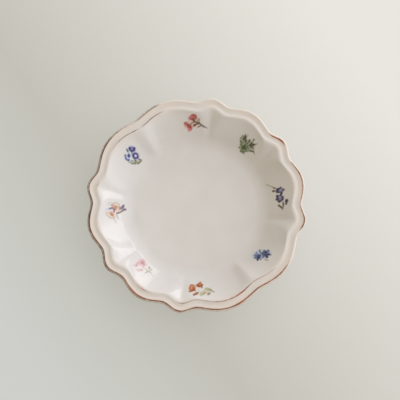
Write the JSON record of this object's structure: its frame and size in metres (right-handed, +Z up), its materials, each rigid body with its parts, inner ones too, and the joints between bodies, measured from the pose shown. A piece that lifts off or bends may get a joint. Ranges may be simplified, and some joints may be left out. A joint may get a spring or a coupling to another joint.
{
  "type": "dessert plate",
  "caption": "Round glazed earthenware dessert plate with a waved rim, fluted wall, painted edge lines and scattered flower sprigs, for serving cake or fruit.",
  "frame": {"origin": "on the plate's axis, in the plane that the foot ring stands on", "axes": "+Z up along the plate's axis, +X towards a tip of the rim, +Y towards a notch of the rim"},
  "size_m": [0.214, 0.2074, 0.0289],
  "materials": {
    "clay": "bare fired clay, matt, pale buff",
    "glaze": "glossy warm white glaze",
    "brown_paint": "hand-drawn brown line under the gloss",
    "coral_enamel": "glossy fired enamel",
    "green_enamel": "glossy fired enamel",
    "violet_enamel": "glossy fired enamel",
    "cobalt_enamel": "glossy fired enamel",
    "orange_enamel": "glossy fired enamel",
    "pink_enamel": "glossy fired enamel",
    "peach_enamel": "glossy fired enamel",
    "blue_enamel": "glossy fired enamel"
  },
  "bodies": {
    "root": {"clay_body": "clay", "face_glaze": "glaze", "back_glaze": "glaze", "underside_glaze": "glaze", "lip_line": "brown_paint", "ridge_line": "brown_paint", "sprig_coral": "coral_enamel", "sprig_green": "green_enamel", "sprig_violet": "violet_enamel", "sprig_cobalt": "cobalt_enamel", "sprig_orange": "orange_enamel", "sprig_pink": "pink_enamel", "sprig_peach": "peach_enamel", "sprig_blue": "blue_enamel"}
  },
  "joints": []
}
